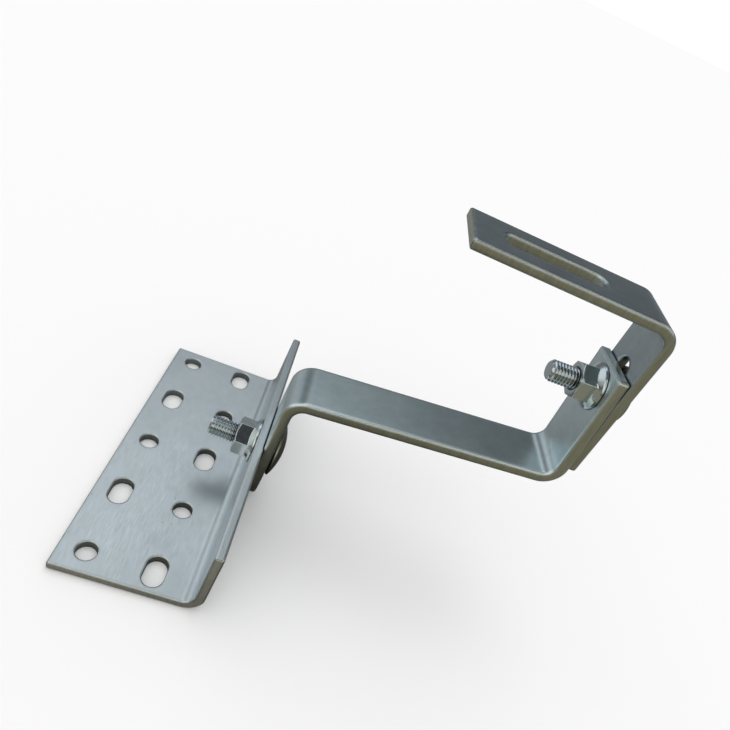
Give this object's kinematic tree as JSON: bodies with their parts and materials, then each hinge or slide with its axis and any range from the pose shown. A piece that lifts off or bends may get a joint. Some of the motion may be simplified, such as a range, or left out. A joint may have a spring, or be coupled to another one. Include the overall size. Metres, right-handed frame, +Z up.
{
  "type": "solar roof hook",
  "caption": "Adjustable roof hook for solar rails: a folded base plate with round and slotted holes, a Z-shaped arm and a slotted L-shaped bracket, joined by carriage bolts and flange nuts.",
  "frame": {"origin": "middle of the base plate's underside", "axes": "+X from the plate towards the hook's upright, +Y along the plate, +Z up from the rafter"},
  "size_m": [0.2003, 0.148, 0.1642],
  "materials": {
    "plate_steel": "bright zinc plating on cold-rolled sheet, satin, faintly mottled",
    "bar_steel": "bright zinc plating on flat bar, satin, with rubbed bright bands at the bends",
    "fastener_steel": "bright zinc plating, glossy"
  },
  "bodies": {
    "root": {"base_plate": "plate_steel", "arm": "bar_steel", "rail_bracket": "bar_steel", "lower_bolt": "fastener_steel", "upper_bolt": "fastener_steel", "lower_nut": "fastener_steel", "upper_nut": "fastener_steel"}
  },
  "joints": []
}
